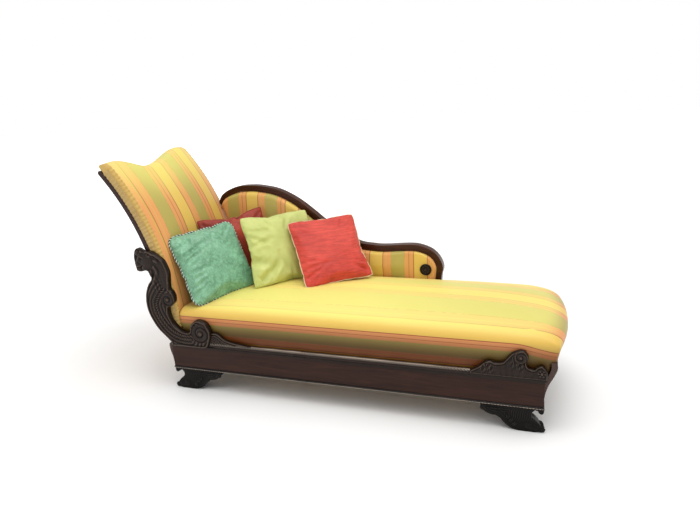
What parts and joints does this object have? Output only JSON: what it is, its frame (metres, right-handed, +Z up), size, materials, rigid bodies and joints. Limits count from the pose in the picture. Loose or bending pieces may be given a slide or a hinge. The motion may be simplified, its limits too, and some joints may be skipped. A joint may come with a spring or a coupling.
{
  "type": "fainting couch",
  "caption": "Carved couch with a raked headrest, scroll arms, a half-length serpentine back, a long sprung seat open at the foot, paw feet and loose pillows.",
  "frame": {"origin": "on the floor, under the middle of the whole couch's bounding box", "axes": "+X along the couch towards the open foot end, +Y from the front to the back, +Z up"},
  "size_m": [2.0302, 0.7338, 1.0895],
  "materials": {
    "mahogany": "polished, carved",
    "mahogany_veneer": "polished veneer",
    "frame_wood": "raw",
    "jute": "coarse weave",
    "spring_wire": "drawn wire",
    "striped_fabric": "satin stripe in gold, salmon and olive",
    "olive_fabric": "gathered satin",
    "teal_fabric": "damask",
    "rust_fabric": "plain weave",
    "lime_fabric": "silk",
    "coral_fabric": "silk"
  },
  "bodies": {
    "couch": {"front_rail": "mahogany_veneer", "rear_rail": "mahogany_veneer", "head_board": "mahogany", "foot_board": "mahogany", "front_bead": "mahogany", "rear_bead": "mahogany", "front_moulding": "mahogany", "rear_moulding": "mahogany", "corner_blocks": "frame_wood", "cross_stretchers": "frame_wood", "foot_dowels": "frame_wood", "paw_front_left": "mahogany", "paw_front_right": "mahogany", "paw_rear_left": "mahogany", "paw_rear_right": "mahogany", "seat_webbing": "jute", "seat_springs": "spring_wire", "seat_burlap": "jute", "seat_pad": "striped_fabric", "scroll_front": "mahogany", "scroll_rear": "mahogany", "leaf_foot_front": "mahogany", "leaf_foot_rear": "mahogany", "leaf_head_front": "mahogany", "leaf_head_rear": "mahogany", "stile_front": "mahogany", "stile_rear": "mahogany", "headrest_top_rail": "frame_wood", "headrest_cross_rail": "frame_wood", "headrest_base_rail": "frame_wood", "headrest_webbing": "jute", "headrest_pad": "striped_fabric", "border_front": "olive_fabric", "border_rear": "olive_fabric", "headrest_cover": "olive_fabric", "crest_rail": "mahogany", "back_base_rail": "frame_wood", "back_post": "frame_wood", "back_webbing": "jute", "back_pad": "striped_fabric", "back_cover": "olive_fabric", "back_rosette": "mahogany"},
    "pillow_teal": {"pillow_teal": "teal_fabric"},
    "pillow_rust": {"pillow_rust": "rust_fabric"},
    "pillow_lime": {"pillow_lime": "lime_fabric"},
    "pillow_coral": {"pillow_coral": "coral_fabric"}
  },
  "joints": [
    {"name": "teal_lift", "type": "slide", "parent": "couch", "child": "pillow_teal", "axis": [-0.171, -0.2962, 0.9397], "range_m": [0, 0.4]},
    {"name": "rust_lift", "type": "slide", "parent": "couch", "child": "pillow_rust", "axis": [-0.1853, 0.1555, 0.9703], "range_m": [0, 0.4]},
    {"name": "lime_lift", "type": "slide", "parent": "couch", "child": "pillow_lime", "axis": [-0.3868, 0.1257, 0.9135], "range_m": [0, 0.4]},
    {"name": "coral_lift", "type": "slide", "parent": "couch", "child": "pillow_coral", "axis": [0.133, -0.1116, 0.9848], "range_m": [0, 0.4]}
  ]
}
